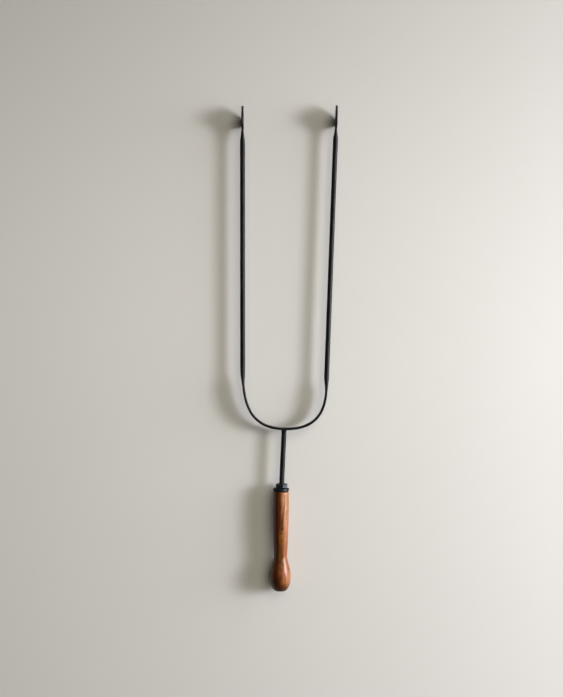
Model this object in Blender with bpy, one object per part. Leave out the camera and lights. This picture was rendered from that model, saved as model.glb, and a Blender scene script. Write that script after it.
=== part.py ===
"""A long two-tined fork: a forged iron head on a rod shank with a turned wooden handle.

Metres, +Z up. The fork lies flat on the plane z = 0. Its tines point along +Y and spread
along X, and its two paddles stand upright on their rims. The origin is the bottom centre of
the whole fork's box.

Inside the script everything is placed from a datum: the middle of the handle's top face, on
the handle's axis. The tines, the shank and the handle all have their axes in the datum's XY
plane, and the handle's axis is the datum's Y axis.
"""

import math
from dataclasses import dataclass

import bmesh
import bpy
from mathutils import Vector
from mathutils.geometry import interpolate_bezier

MM = 0.001
INCH = 25.4 * MM
GAP = 0.3 * MM                      # left between two pieces that touch

# Forged head: a quarter-inch rod, flattened into the band of the bow and into two paddles.
ROD_R = INCH / 8
BAND_THICKNESS = 3.0 * MM
BAND_WIDTH = 11.0 * MM
BAND_CORNER_R = 0.8 * MM
BAND_TAPER = 23.0 * MM              # length over which the round rod becomes the band
BOW_BOTTOM_X = 5.3 * MM             # lowest point of the bow, to the right of the handle's axis
BOW_BOTTOM_Y = 78.7 * MM
BOW_STEPS = 18                      # rings from each shoulder to the bottom of the bow
RIM_SHARES = (0.15, 0.5, 1.0)       # rings round the tip, as shares of the rim's radius
CROWN_STEPS = 7                     # rings from the tip's rim to the widest place
WAIST_STEPS = 8                     # rings from there to the neck
NECK_STEPS = 5                      # rings while the neck becomes the round rod

PADDLE_THICKNESS = 3.0 * MM
PADDLE_WIDEST = 17.8 * MM           # distance from the tip to the widest place
PADDLE_LENGTH = 30.0 * MM           # distance from the tip to the neck
PADDLE_POINT = 0.88                 # 1.0 gives the tip a blunt point, lower rounds it
PADDLE_SHOULDER = 2.0               # higher keeps the paddle wide for longer before the neck
PADDLE_RIM_R = 0.8 * MM
NECK_WIDTH = 10.0 * MM
CORNER_POINTS = 5                   # points on each of a ring's four corners

# Shank: a quarter-inch rod with a riveted tenon at the bow and a tang through the handle.
SHANK_R = INCH / 8
SHANK_LEAN = math.radians(2.06)     # towards the right tine, from the lock nut upwards
TANG_X = 0.6 * MM                   # the tang's hole runs a little to the right of the handle's axis
FLARE_R = 3.6 * MM                  # shoulder that the bow is riveted down on
FLARE_LENGTH = 1.4 * MM
FLARE_HALFWAY = 0.3                 # share of the flare reached halfway along it
TENON_R = 2.2 * MM
RIVET_R = 3.7 * MM                  # countersunk head, flush with the inside of the bow
RIVET_DEPTH = 1.1 * MM
TANG_END_R = 2.5 * MM               # turned down for the butt nut
TANG_SHOULDER_Y = -112.0 * MM
TANG_CHAMFER = 0.5 * MM

# Turned handle, from its top face down to its butt.
HANDLE_LENGTH = 123.9 * MM
TOP_R = 8.9 * MM
TOP_EDGE = 2.6 * MM                 # height of the rounded top edge
TOP_EDGE_R = 9.75 * MM
GRIP_R = 10.05 * MM
GRIP_DEPTH = 14.0 * MM              # thickest place of the grip
NECK_R = 8.35 * MM
NECK_DEPTH = 81.2 * MM
BULB_R = 13.2 * MM                  # the bulb and both paddles touch the plane z = 0
BULB_DEPTH = 106.2 * MM
BULB_FULLNESS = 1.5                 # lower makes the bulb's upper half fuller
BULB_END = 20.3 * MM                # length of the curve that closes the bulb
BULB_END_POWER = 2.5
BUTT_EDGE_DEPTH = 121.7 * MM        # crisp edge where the bulb meets the butt's bevel
BUTT_R = 7.2 * MM
HANDLE_BORE_R = SHANK_R + GAP
RECESS_R = 5.8 * MM
RECESS_DEPTH = 8.0 * MM
TURNED_SIDES = 48
EDGE_STEPS = 4                      # steps round each turned edge
GRIP_TOP_STEPS = 3                  # steps along each stretch of the handle
GRIP_STEPS = 7
BULB_RISE_STEPS = 9
BULB_END_STEPS = 6

# Bolster, nuts and washer.
BOLSTER_R = 9.95 * MM
BOLSTER_TOP_Y = 4.7 * MM
BOLSTER_RIM_R = 1.5 * MM
LOCK_NUT_FLATS = 0.525 * INCH       # quarter-inch Whitworth
LOCK_NUT_TOP_Y = 10.0 * MM
LOCK_NUT_TURN = math.radians(15.0)  # a corner stands this far to the right of straight up
NUT_CHAMFER = math.radians(30.0)
NUT_FACE_SHARE = 0.95               # round face of a nut, as a share of its width over flats
NUT_FLAT_STEPS = 6                  # points along each flat
BUTT_WASHER_R = 5.4 * MM
BUTT_WASHER_THICKNESS = 1.2 * MM
BUTT_NUT_FLATS = 8.0 * MM
BUTT_NUT_THICKNESS = 3.9 * MM
TANG_PROUD = 1.0 * MM               # tang beyond the butt nut
SMALL_SIDES = 32

IRON = (0.022, 0.022, 0.024, 1.0)
NUT_IRON = (0.035, 0.037, 0.042, 1.0)
WOOD = (0.23, 0.085, 0.032, 1.0)

UP = Vector((0.0, 0.0, 1.0))
ALONG = Vector((0.0, 1.0, 0.0))


@dataclass
class Tine:
    """One arm of the forged head, from its tip down to the bottom of the bow."""

    shoulder_x: float               # where the straight tine runs into the bow
    shoulder_y: float
    tip_y: float
    lean: float                     # from +Y towards +X
    shoulder_pull: float            # Bezier handle at the shoulder, down along the tine
    bottom_pull: float              # Bezier handle at the bottom of the bow, level; signed
    band_from_y: float              # the rod starts to flatten into the band here
    neck_taper: float               # length over which the neck becomes the round rod

    def direction(self):
        return Vector((math.sin(self.lean), math.cos(self.lean), 0.0))

    def shoulder(self):
        return Vector((self.shoulder_x, self.shoulder_y, 0.0))

    def tip(self):
        return self.shoulder() + self.direction() * self.straight_length()

    def straight_length(self):
        return (self.tip_y - self.shoulder_y) / math.cos(self.lean)


LEFT_TINE = Tine(
    shoulder_x=-49.7 * MM, shoulder_y=155.7 * MM, tip_y=483.7 * MM, lean=math.radians(-0.57),
    shoulder_pull=47.5 * MM, bottom_pull=-45.6 * MM, band_from_y=152.7 * MM,
    neck_taper=17.0 * MM)
RIGHT_TINE = Tine(
    shoulder_x=55.8 * MM, shoulder_y=145.7 * MM, tip_y=485.5 * MM, lean=math.radians(1.62),
    shoulder_pull=19.4 * MM, bottom_pull=55.8 * MM, band_from_y=146.7 * MM,
    neck_taper=13.0 * MM)


# ---------------------------------------------------------------- helpers

def mix(a, b, share):
    return a + (b - a) * share


def ease(share):
    """0 to 1 along a half wave, held at both ends."""
    return 0.5 - 0.5 * math.cos(math.pi * min(1.0, max(0.0, share)))


def steps(start, end, count):
    """count values after start, the last one at end."""
    return [mix(start, end, i / count) for i in range(1, count + 1)]


def clear_scene():
    for obj in list(bpy.data.objects):
        bpy.data.objects.remove(obj, do_unlink=True)


def make_material(name, colour, metallic, roughness):
    material = bpy.data.materials.new(name)
    material.use_nodes = True
    shader = material.node_tree.nodes["Principled BSDF"]
    shader.inputs["Base Color"].default_value = colour
    shader.inputs["Metallic"].default_value = metallic
    shader.inputs["Roughness"].default_value = roughness
    material.diffuse_color = colour
    return material


def add_object(name, bm, parent, material=None, sharp_angle=35.0):
    """Turn a bmesh into a smooth-shaded object with its faces pointing out."""
    bmesh.ops.recalc_face_normals(bm, faces=bm.faces)
    mesh = bpy.data.meshes.new(name)
    bm.to_mesh(mesh)
    bm.free()
    mesh.shade_smooth()
    mesh.set_sharp_from_angle(angle=math.radians(sharp_angle))
    if material:
        mesh.materials.append(material)
    obj = bpy.data.objects.new(name, mesh)
    obj.parent = parent
    bpy.context.scene.collection.objects.link(obj)
    return obj


def cut(obj, cutter):
    """Cut one body out of obj with a Boolean modifier and keep the cutter out of the model."""
    cutter.hide_render = True
    cutter.display_type = "WIRE"
    modifier = obj.modifiers.new(cutter.name, "BOOLEAN")
    modifier.operation = "DIFFERENCE"
    modifier.object = cutter


def ring(centre, along, half_t, half_w, corner):
    """Rounded rectangle across `along`: half_t in the XY plane, half_w upright."""
    across = along.cross(UP)
    points = []
    for i in range(4 * CORNER_POINTS):
        angle = math.radians(90.0) * (i + 0.5) / CORNER_POINTS
        c, s = math.cos(angle), math.sin(angle)
        thin = math.copysign(half_t - corner, c) + corner * c
        wide = math.copysign(half_w - corner, s) + corner * s
        points.append(centre + across * thin + UP * wide)
    return points


def skin(rings):
    """Join equal rings in order. A first ring given again at the end closes the row."""
    bm = bmesh.new()
    loops = [[bm.verts.new(point) for point in points] for points in rings]
    if rings[0] is rings[-1]:
        bmesh.ops.delete(bm, geom=loops.pop(), context="VERTS")
        loops.append(loops[0])
    count = len(loops[0])
    for here, there in zip(loops, loops[1:]):
        for i in range(count):
            j = (i + 1) % count
            bm.faces.new((here[i], here[j], there[j], there[i]))
    return bm, loops


def loft(rings):
    """Skin a row of rings and close both ends with a face."""
    bm, loops = skin(rings)
    bm.faces.new(loops[0])
    bm.faces.new(loops[-1])
    return bm


def circle(x, y, radius, sides):
    """Ring round an axis along Y that lies x to the right of the handle's axis."""
    angles = [math.tau * i / sides for i in range(sides)]
    return [Vector((x + radius * math.sin(a), y, radius * math.cos(a))) for a in angles]


def tube(outline, sides):
    """Skin a closed outline of (x, y, radius) points into a body with a hole through it."""
    rings = [circle(x, y, radius, sides) for x, y, radius in outline]
    return skin(rings + rings[:1])[0]


# ---------------------------------------------------------------- forged head

def paddle_ring_size(distance, tine):
    """Half thickness, half width and corner radius of a ring near the tip."""
    half_t = PADDLE_THICKNESS / 2
    corner = PADDLE_RIM_R
    if distance < PADDLE_WIDEST:
        half_w = BULB_R * math.sin(math.radians(90.0) * distance / PADDLE_WIDEST) ** PADDLE_POINT
        if distance < PADDLE_RIM_R:
            rise = math.sqrt(PADDLE_RIM_R ** 2 - (PADDLE_RIM_R - distance) ** 2)
            half_t += rise - PADDLE_RIM_R
    elif distance < PADDLE_LENGTH:
        share = (distance - PADDLE_WIDEST) / (PADDLE_LENGTH - PADDLE_WIDEST)
        half_w = mix(BULB_R, NECK_WIDTH / 2, ease(share ** PADDLE_SHOULDER))
    else:
        share = ease((distance - PADDLE_LENGTH) / tine.neck_taper)
        half_w = mix(NECK_WIDTH / 2, ROD_R, share)
        half_t = mix(half_t, ROD_R, share)
        corner = mix(corner, ROD_R, share)
    return half_t, half_w, min(corner, half_t, half_w)


def band_ring_size(y, tine):
    """Half thickness, half width and corner radius of a ring where the rod meets the bow."""
    share = ease((tine.band_from_y - y) / BAND_TAPER)
    half_t = mix(ROD_R, BAND_THICKNESS / 2, share)
    half_w = mix(ROD_R, BAND_WIDTH / 2, share)
    corner = mix(ROD_R, BAND_CORNER_R, share)
    return half_t, half_w, min(corner, half_t, half_w)


def tip_distances(tine):
    """Where the rings of the paddle and its neck lie, measured from the tip."""
    rim = [PADDLE_RIM_R * share for share in RIM_SHARES]
    crown = steps(PADDLE_RIM_R, PADDLE_WIDEST, CROWN_STEPS)
    waist = steps(PADDLE_WIDEST, PADDLE_LENGTH, WAIST_STEPS)
    neck = steps(PADDLE_LENGTH, PADDLE_LENGTH + tine.neck_taper, NECK_STEPS)
    return rim + crown + waist + neck


def tine_stations(tine):
    """Centre points and ring sizes, from the tip down to the bottom of the bow."""
    stations = []
    for distance in tip_distances(tine):
        centre = tine.tip() - tine.direction() * distance
        stations.append((centre, paddle_ring_size(distance, tine)))
    shoulder = tine.shoulder()
    stations.append((shoulder, band_ring_size(shoulder.y, tine)))
    bottom = Vector((BOW_BOTTOM_X, BOW_BOTTOM_Y, 0.0))
    curve = interpolate_bezier(
        shoulder, shoulder - tine.direction() * tine.shoulder_pull,
        bottom + Vector((tine.bottom_pull, 0.0, 0.0)), bottom, BOW_STEPS + 1)
    stations += [(point, band_ring_size(point.y, tine)) for point in curve[1:]]
    return stations


def build_fork_head(datum, iron):
    left = tine_stations(LEFT_TINE)
    right = tine_stations(RIGHT_TINE)
    stations = left + right[-2::-1]
    centres = [centre for centre, size in stations]
    rings = []
    for i, (centre, size) in enumerate(stations):
        before = centres[max(i - 1, 0)]
        after = centres[min(i + 1, len(centres) - 1)]
        rings.append(ring(centre, (after - before).normalized(), *size))
    head = add_object("fork_head", loft(rings), datum, iron)
    cut(head, build_tenon_cutter(datum))
    return head


# ---------------------------------------------------------------- shank

def shank_bend():
    return Vector((TANG_X, LOCK_NUT_TOP_Y, 0.0))


def shank_direction():
    return Vector((math.sin(SHANK_LEAN), math.cos(SHANK_LEAN), 0.0))


def bow_distance():
    """From the bend above the lock nut, along the shank, to the middle of the band."""
    return (BOW_BOTTOM_Y - LOCK_NUT_TOP_Y) / math.cos(SHANK_LEAN)


def shank_ring(distance, radius):
    centre = shank_bend() + shank_direction() * distance
    return ring(centre, shank_direction(), radius, radius, radius)


def build_shank(datum, iron):
    washer_top = -HANDLE_LENGTH + RECESS_DEPTH - GAP
    nut_end = washer_top - BUTT_WASHER_THICKNESS - GAP - BUTT_NUT_THICKNESS
    end = nut_end - TANG_PROUD
    tang = [(end, TANG_END_R - TANG_CHAMFER), (end + TANG_CHAMFER, TANG_END_R),
            (TANG_SHOULDER_Y, TANG_END_R), (TANG_SHOULDER_Y, SHANK_R)]
    rings = [ring(Vector((TANG_X, y, 0.0)), ALONG, r, r, r) for y, r in tang]
    bisector = (ALONG + shank_direction()).normalized()
    rings.append(ring(shank_bend(), bisector, SHANK_R, SHANK_R, SHANK_R))

    shoulder = bow_distance() - BAND_THICKNESS / 2 - GAP
    face = bow_distance() + BAND_THICKNESS / 2
    upper = [(shoulder - FLARE_LENGTH, SHANK_R),
             (shoulder - FLARE_LENGTH / 2, mix(SHANK_R, FLARE_R, FLARE_HALFWAY)),
             (shoulder, FLARE_R), (shoulder, TENON_R),
             (face - RIVET_DEPTH, TENON_R), (face, RIVET_R)]
    rings += [shank_ring(distance, radius) for distance, radius in upper]
    return add_object("shank", loft(rings), datum, iron)


def build_tenon_cutter(datum):
    """Hole and countersink through the bow, a gap wider than the tenon and its rivet head."""
    face = bow_distance() + BAND_THICKNESS / 2
    slope = (RIVET_R - TENON_R) / RIVET_DEPTH
    sink_r = RIVET_R + GAP * math.hypot(1.0, slope)
    hole_r = TENON_R + GAP
    sink_depth = (sink_r - hole_r) / slope
    beyond = BAND_THICKNESS
    profile = [(face - 2 * BAND_THICKNESS, hole_r), (face - sink_depth, hole_r),
               (face, sink_r), (face + beyond, sink_r + beyond * slope)]
    return add_object("tenon_hole", loft([shank_ring(d, r) for d, r in profile]), datum)


# ---------------------------------------------------------------- turned handle

def handle_outline():
    """Outer outline as (depth below the top face, radius), from the top to the butt."""
    points = []
    for i in range(EDGE_STEPS + 1):
        angle = math.radians(90.0) * i / EDGE_STEPS
        points.append((TOP_EDGE * (1.0 - math.cos(angle)), mix(TOP_R, TOP_EDGE_R, math.sin(angle))))
    for depth in steps(TOP_EDGE, GRIP_DEPTH, GRIP_TOP_STEPS):
        share = ease((depth - TOP_EDGE) / (GRIP_DEPTH - TOP_EDGE))
        points.append((depth, mix(TOP_EDGE_R, GRIP_R, share)))
    for depth in steps(GRIP_DEPTH, NECK_DEPTH, GRIP_STEPS):
        share = (depth - GRIP_DEPTH) / (NECK_DEPTH - GRIP_DEPTH)
        points.append((depth, mix(GRIP_R, NECK_R, share ** 2)))
    for depth in steps(NECK_DEPTH, BULB_DEPTH, BULB_RISE_STEPS):
        share = (depth - NECK_DEPTH) / (BULB_DEPTH - NECK_DEPTH)
        rise = math.sin(math.radians(90.0) * share) ** BULB_FULLNESS
        points.append((depth, mix(NECK_R, BULB_R, rise)))
    for depth in steps(BULB_DEPTH, BUTT_EDGE_DEPTH, BULB_END_STEPS):
        share = (depth - BULB_DEPTH) / BULB_END
        points.append((depth, BULB_R * math.sqrt(1.0 - share ** BULB_END_POWER)))
    points.append((HANDLE_LENGTH, BUTT_R))
    return points


def build_handle(datum, wood):
    """Turned body with a hole for the tang and a recess in the butt for its nut."""
    floor = HANDLE_LENGTH - RECESS_DEPTH
    outer = [(0.0, -depth, radius) for depth, radius in handle_outline()]
    inner = [(TANG_X, -HANDLE_LENGTH, RECESS_R), (TANG_X, -floor, RECESS_R),
             (TANG_X, -floor, HANDLE_BORE_R), (TANG_X, 0.0, HANDLE_BORE_R)]
    return add_object("handle", tube(outer + inner, TURNED_SIDES), datum, wood)


# ---------------------------------------------------------------- bolster, nuts and washer

def build_bolster(datum, iron):
    """Thick washer with a rounded rim, loose on the rod and centred on the handle."""
    low, high = GAP, BOLSTER_TOP_Y
    middle = BOLSTER_R - BOLSTER_RIM_R
    hole_r = SHANK_R + GAP + TANG_X
    outline = [(0.0, low, hole_r)]
    for corner_y, first in ((low + BOLSTER_RIM_R, -90.0), (high - BOLSTER_RIM_R, 0.0)):
        for i in range(EDGE_STEPS + 1):
            angle = math.radians(first + 90.0 * i / EDGE_STEPS)
            y = corner_y + BOLSTER_RIM_R * math.sin(angle)
            outline.append((0.0, y, middle + BOLSTER_RIM_R * math.cos(angle)))
    outline.append((0.0, high, hole_r))
    return add_object("bolster", tube(outline, TURNED_SIDES), datum, iron)


def build_washer(datum, iron):
    high = -HANDLE_LENGTH + RECESS_DEPTH - GAP
    low = high - BUTT_WASHER_THICKNESS
    hole_r = TANG_END_R + GAP
    corners = [(low, hole_r), (low, BUTT_WASHER_R), (high, BUTT_WASHER_R), (high, hole_r)]
    outline = [(TANG_X, y, radius) for y, radius in corners]
    return add_object("butt_washer", tube(outline, SMALL_SIDES), datum, iron)


def nut_ring(y, turn, radius_at):
    """Ring round the tang; radius_at gives radius and lift for an angle off a flat's middle."""
    points = []
    for i in range(6 * NUT_FLAT_STEPS):
        angle = math.radians(60.0) * i / NUT_FLAT_STEPS
        off_flat = math.radians(60.0 * (i % NUT_FLAT_STEPS) / NUT_FLAT_STEPS - 30.0)
        radius, lift = radius_at(off_flat)
        x, z = radius * math.sin(angle + turn), radius * math.cos(angle + turn)
        points.append(Vector((TANG_X + x, y + lift, z)))
    return points


def build_nut(name, datum, iron, flats, low, high, bore_r, turn):
    """Hexagon nut on the tang. A cone cuts the corners of both faces, as on a turned nut."""
    face_r = flats / 2 * NUT_FACE_SHARE

    def corner(sign):
        def radius_at(off_flat):
            radius = flats / 2 / math.cos(off_flat)
            return radius, sign * (radius - face_r) * math.tan(NUT_CHAMFER)
        return radius_at

    def even(radius):
        return lambda off_flat: (radius, 0.0)

    rings = [nut_ring(low, turn, even(bore_r)), nut_ring(low, turn, even(face_r)),
             nut_ring(low, turn, corner(1.0)), nut_ring(high, turn, corner(-1.0)),
             nut_ring(high, turn, even(face_r)), nut_ring(high, turn, even(bore_r))]
    return add_object(name, skin(rings + rings[:1])[0], datum, iron)


def stand_on_origin(datum, pieces):
    """Move the datum so that the origin is the bottom centre of the pieces' common box."""
    points = [vertex.co for piece in pieces for vertex in piece.data.vertices]
    low = Vector([min(point[axis] for point in points) for axis in range(3)])
    high = Vector([max(point[axis] for point in points) for axis in range(3)])
    datum.location = (-(low.x + high.x) / 2, -(low.y + high.y) / 2, -low.z)


def main():
    clear_scene()
    datum = bpy.data.objects.new("handle_top_datum", None)
    bpy.context.scene.collection.objects.link(datum)

    iron = make_material("forged_iron", IRON, metallic=0.6, roughness=0.45)
    shank_iron = make_material("shank_iron", IRON, metallic=0.6, roughness=0.4)
    bolster_iron = make_material("bolster_iron", NUT_IRON, metallic=0.7, roughness=0.4)
    nut_iron = make_material("nut_iron", NUT_IRON, metallic=0.8, roughness=0.35)
    butt_nut_iron = make_material("butt_nut_iron", NUT_IRON, metallic=0.8, roughness=0.4)
    washer_iron = make_material("washer_iron", NUT_IRON, metallic=0.8, roughness=0.45)
    wood = make_material("varnished_wood", WOOD, metallic=0.0, roughness=0.35)

    butt_nut_high = -HANDLE_LENGTH + RECESS_DEPTH - 2 * GAP - BUTT_WASHER_THICKNESS
    pieces = [
        build_fork_head(datum, iron),
        build_shank(datum, shank_iron),
        build_bolster(datum, bolster_iron),
        build_handle(datum, wood),
        build_washer(datum, washer_iron),
        build_nut("lock_nut", datum, nut_iron, LOCK_NUT_FLATS, BOLSTER_TOP_Y + GAP,
                  LOCK_NUT_TOP_Y, SHANK_R + GAP, LOCK_NUT_TURN),
        build_nut("butt_nut", datum, butt_nut_iron, BUTT_NUT_FLATS,
                  butt_nut_high - BUTT_NUT_THICKNESS, butt_nut_high, TANG_END_R + GAP, 0.0),
    ]
    stand_on_origin(datum, pieces)


main()
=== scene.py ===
"""The looks of a long two-tined fork: forged iron head, rod shank, turned wooden handle.

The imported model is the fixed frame. Each piece here is a finer mesh that stands for one of its
nodes and rides with it. Lengths are in metres, and every piece is modelled from the datum: the
middle of the handle's top face, on the handle's axis, with the tines along +Y.
"""

import math

import bmesh
import bpy
from mathutils import Matrix, Vector, noise
from mathutils.geometry import interpolate_bezier


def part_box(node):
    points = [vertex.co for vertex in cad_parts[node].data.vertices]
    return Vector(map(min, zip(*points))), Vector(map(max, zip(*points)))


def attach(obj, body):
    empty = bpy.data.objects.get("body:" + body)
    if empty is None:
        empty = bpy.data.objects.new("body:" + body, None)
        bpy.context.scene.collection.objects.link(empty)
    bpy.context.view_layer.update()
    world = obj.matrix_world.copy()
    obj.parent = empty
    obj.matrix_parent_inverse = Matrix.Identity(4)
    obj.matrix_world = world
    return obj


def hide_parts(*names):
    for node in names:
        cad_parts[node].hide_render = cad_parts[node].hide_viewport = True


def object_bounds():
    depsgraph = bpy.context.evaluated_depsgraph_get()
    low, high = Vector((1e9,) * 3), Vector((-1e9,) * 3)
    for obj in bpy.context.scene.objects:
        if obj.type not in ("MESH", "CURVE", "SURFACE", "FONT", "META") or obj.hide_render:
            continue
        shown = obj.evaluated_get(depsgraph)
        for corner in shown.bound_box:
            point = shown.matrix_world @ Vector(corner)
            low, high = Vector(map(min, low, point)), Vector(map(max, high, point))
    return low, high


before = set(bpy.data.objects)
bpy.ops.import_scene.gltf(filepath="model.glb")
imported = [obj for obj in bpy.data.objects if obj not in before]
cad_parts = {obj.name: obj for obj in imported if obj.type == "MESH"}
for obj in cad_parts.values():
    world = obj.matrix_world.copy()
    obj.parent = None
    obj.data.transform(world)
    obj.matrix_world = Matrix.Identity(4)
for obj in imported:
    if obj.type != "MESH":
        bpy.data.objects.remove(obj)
CAD_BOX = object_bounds()

MM = 0.001
GAP = 0.3 * MM                      # the frame's gap between pieces that touch
UP = Vector((0.0, 0.0, 1.0))
ALONG = Vector((0.0, 1.0, 0.0))


# ---------------------------------------------------------------- places read from the frame

def box_from(origin, node):
    low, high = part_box(node)
    return low - origin, high - origin


def find_datum():
    """The handle's axis runs through the middle of the bolster, a gap above the wood."""
    low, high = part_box("bolster")
    return Vector(((low.x + high.x) / 2, low.y - GAP, (low.z + high.z) / 2))


DATUM = find_datum()
HEAD_HIGH = box_from(DATUM, "fork_head")[1]
BOLSTER_LOW, BOLSTER_HIGH = box_from(DATUM, "bolster")
LOCK_LOW, LOCK_HIGH = box_from(DATUM, "lock_nut")
HANDLE_LOW = box_from(DATUM, "handle")[0]
WASHER_LOW, WASHER_HIGH = box_from(DATUM, "butt_washer")
NUT_LOW, NUT_HIGH = box_from(DATUM, "butt_nut")
SHANK_LOW = box_from(DATUM, "shank")[0]

TANG_X = (WASHER_LOW.x + WASHER_HIGH.x) / 2
PADDLE_R = HEAD_HIGH.z

# Forged head, with the frame's own measures.
ROD_R = 3.175 * MM
BAND_THICKNESS = 3.0 * MM
BAND_WIDTH = 11.0 * MM
BAND_CORNER_R = 0.9 * MM
BAND_TAPER = 23.0 * MM
BOW_BOTTOM = Vector((5.3 * MM, 78.7 * MM, 0.0))
PADDLE_THICKNESS = 3.0 * MM
PADDLE_WIDEST = 17.8 * MM
PADDLE_LENGTH = 30.0 * MM
PADDLE_POINT = 0.88
PADDLE_SHOULDER = 2.0
PADDLE_RIM_R = 0.85 * MM
PADDLE_RIM_THINNING = 0.22          # the rim is this much thinner than the middle
TIP_CUT = 0.12 * MM                 # the rounded tip is closed this far in
NECK_WIDTH = 10.0 * MM
BROAD_DENT = (6.5 * MM, 0.16 * MM)  # size and depth of the hammer's marks on the flats
SMALL_DENT = (3.6 * MM, 0.06 * MM)
DENT_REACH = 0.75                   # radius of a dent as a share of its size
ROD_WAVE = 0.05 * MM                # unevenness of the round rods
HEAD_INSET = 0.045 * MM             # keeps the finer mesh inside the frame's box
DENTED_HALF_T = 0.9 * MM            # a section thinner than this is dented less

# Shank.
SHANK_R = 3.175 * MM
SHANK_LEAN = math.radians(2.06)
FLARE_R = 3.55 * MM
FLARE_LENGTH = 1.6 * MM
RIVET_R = 3.7 * MM
RIVET_DEPTH = 1.1 * MM
RIVET_DOME = 0.12 * MM
RIVET_EDGE = 0.12 * MM              # chamfer round the rivet head
TENON_R = 2.2 * MM
TENON_PLAY = 0.04 * MM
SHOULDER_PLAY = 0.06 * MM           # between the bow and the shoulder under it
TANG_END_R = 2.5 * MM
TANG_CHAMFER = 0.5 * MM
TANG_SHOULDER_Y = -112.0 * MM
THREAD_PITCH = 0.8 * MM
THREAD_DEPTH = 0.35 * MM

# Handle, nuts and washer.
SKIN_R = 6.5 * MM                   # the handle's outside lies further from the axis than this
RECESS_R = 5.8 * MM
RECESS_DEPTH = 8.0 * MM
RECESS_EDGE = 0.3 * MM              # depth of the chamfer at its mouth
RECESS_FLARE = 0.25 * MM            # how much wider the chamfer makes it
BUTT_EDGE = 0.12 * MM
LOCK_FLATS = 13.335 * MM
LOCK_TURN = math.radians(45.0)
BUTT_FLATS = 8.0 * MM
BUTT_TURN = math.radians(30.0)
NUT_PLAY = 0.08 * MM
NUT_CORNER_R = 0.45 * MM
NUT_FACE_SHARE = 0.95               # radius of a nut's round face as a share of the flats'
WEAR = 0.6                          # taken off noise from -1 to 1, so that most of it is inward

# Mesh steps.
HEAD_SIDES = 64
HEAD_STEP = 1.4 * MM
ROD_SIDES = 48
ROD_STEP = 1.5 * MM
FLARE_STEPS = 6
TANG_STEP = 8 * MM
OUTLINE_STEP = 0.9 * MM
TURNED_SIDES = 128
NUT_SIDES = 120
WASHER_SIDES = 64
RIM_STEPS = 12


# ---------------------------------------------------------------- helpers

def mix(a, b, share):
    return a + (b - a) * share


def clamp(value, low=0.0, high=1.0):
    return min(high, max(low, value))


def ease(share):
    return 0.5 - 0.5 * math.cos(math.pi * clamp(share))


def spread(start, end, step):
    """Values after start, evenly spaced by about step, the last one at end."""
    count = max(1, round(abs(end - start) / step))
    return [mix(start, end, i / count) for i in range(1, count + 1)]


def add_piece(name, bm, material, node, sharp_angle=40.0):
    """Make a smooth-shaded piece at the datum that stands for one node of the frame."""
    bmesh.ops.recalc_face_normals(bm, faces=bm.faces)
    mesh = bpy.data.meshes.new(name)
    bm.to_mesh(mesh)
    bm.free()
    mesh.shade_smooth()
    mesh.set_sharp_from_angle(angle=math.radians(sharp_angle))
    mesh.materials.append(material)
    piece = bpy.data.objects.new(name, mesh)
    piece.location = DATUM
    bpy.context.scene.collection.objects.link(piece)
    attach(piece, "root")
    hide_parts(node)
    return piece


def skin(rings, closed=False):
    """Join equal rings in order; closed joins the last ring to the first as well."""
    bm = bmesh.new()
    loops = [[bm.verts.new(point) for point in points] for points in rings]
    pairs = list(zip(loops, loops[1:]))
    if closed:
        pairs.append((loops[-1], loops[0]))
    count = len(loops[0])
    for here, there in pairs:
        for i in range(count):
            j = (i + 1) % count
            bm.faces.new((here[i], here[j], there[j], there[i]))
    return bm, loops


def loft(rings):
    """Skin a row of rings and close both ends."""
    bm, loops = skin(rings)
    bm.faces.new(loops[0])
    bm.faces.new(loops[-1])
    return bm


def circle(x, y, radius, sides):
    """Ring round an axis along Y that lies x to the right of the handle's axis."""
    angles = [math.tau * i / sides for i in range(sides)]
    return [Vector((x + radius * math.sin(a), y, radius * math.cos(a))) for a in angles]


def turned(outline, sides):
    """Skin a closed outline of (x, y, radius) points into a body with a hole through it."""
    return skin([circle(x, y, radius, sides) for x, y, radius in outline], closed=True)[0]


def arc(x, y, radius, first, last, count):
    """Points (y, radius from the axis) on a rounded edge whose centre is at y and radius x."""
    points = []
    for i in range(count + 1):
        angle = math.radians(mix(first, last, i / count))
        points.append((y + radius * math.sin(angle), x + radius * math.cos(angle)))
    return points


# ---------------------------------------------------------------- forged sections

CORNER_WEIGHT = 6.0 * MM            # puts more of a section's points on its corners


def section(half_t, half_w, corner, count):
    """Rounded rectangle as (thin, wide) points, denser where it turns.

    The points start in the middle of the +thin side, so that neighbouring sections match.
    """
    corner = min(corner, half_t, half_w)
    tall, flat = half_w - corner, half_t - corner
    bend = math.pi / 2 * corner + math.pi / 2 * CORNER_WEIGHT
    spans = [tall, bend, 2 * flat, bend, 2 * tall, bend, 2 * flat, bend, tall]
    centres = [(flat, tall), (-flat, tall), (-flat, -tall), (flat, -tall)]
    starts = [(half_t, 0.0), (flat, half_w), (-half_t, tall), (-flat, -half_w), (half_t, -tall)]
    ways = [(0.0, 1.0), (-1.0, 0.0), (0.0, -1.0), (1.0, 0.0), (0.0, 1.0)]
    total = sum(spans)
    points = []
    for i in range(count):
        distance = total * i / count
        k = 0
        while distance > spans[k]:
            distance -= spans[k]
            k += 1
        if k % 2:
            cx, cy = centres[k // 2]
            angle = math.radians(90.0) * (k // 2 + distance / spans[k])
            points.append((cx + corner * math.cos(angle), cy + corner * math.sin(angle)))
        else:
            (sx, sy), (wx, wy) = starts[k // 2], ways[k // 2]
            points.append((sx + wx * distance, sy + wy * distance))
    return points


def hammer(point, size, depth):
    """Shallow overlapping dents, as a planishing hammer leaves them."""
    distances = noise.voronoi(point / size)[0]
    return -depth * (1.0 - clamp(distances[0] / DENT_REACH) ** 2)


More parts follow.
